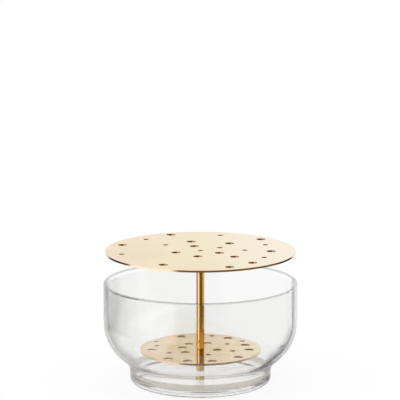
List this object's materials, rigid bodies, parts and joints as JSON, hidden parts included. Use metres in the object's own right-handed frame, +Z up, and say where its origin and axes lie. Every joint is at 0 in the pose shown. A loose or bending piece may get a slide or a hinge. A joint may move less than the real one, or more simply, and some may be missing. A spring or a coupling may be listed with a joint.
{
  "type": "ikebana vase",
  "caption": "Round clear glass bowl on a short foot, with a lift-out polished brass insert: two pierced discs on a centre rod that hold flower stems upright.",
  "frame": {"origin": "On the bowl's axis, in the plane that the bowl stands on.", "axes": "+Z is up, along the axis of the bowl, the rod and the discs. -Y faces the camera of the picture, and +X is to its right."},
  "size_m": [0.245, 0.245, 0.1693],
  "materials": {
    "clear_glass": "clear, polished",
    "polished_brass": "mirror polished",
    "plain_steel": "plain turned steel",
    "clear_silicone": "soft, slightly cloudy"
  },
  "bodies": {
    "bowl": {"glass_bowl": "clear_glass"},
    "foot": {"foot_pad": "clear_silicone"},
    "insert": {"centre_rod": "polished_brass", "foot_rod": "polished_brass", "upper_disc": "polished_brass", "lower_disc": "polished_brass", "disc_screw": "polished_brass", "joining_stud": "plain_steel"}
  },
  "joints": [
    {"name": "insert_lift", "type": "slide", "parent": "bowl", "child": "foot", "axis": [0, 0, 1], "range_m": [0, 0.15]},
    {"name": "insert_turn", "type": "hinge", "parent": "foot", "child": "insert", "pos_m": [0, 0, 0.0104], "axis": [0, 0, 1], "continuous": true}
  ]
}
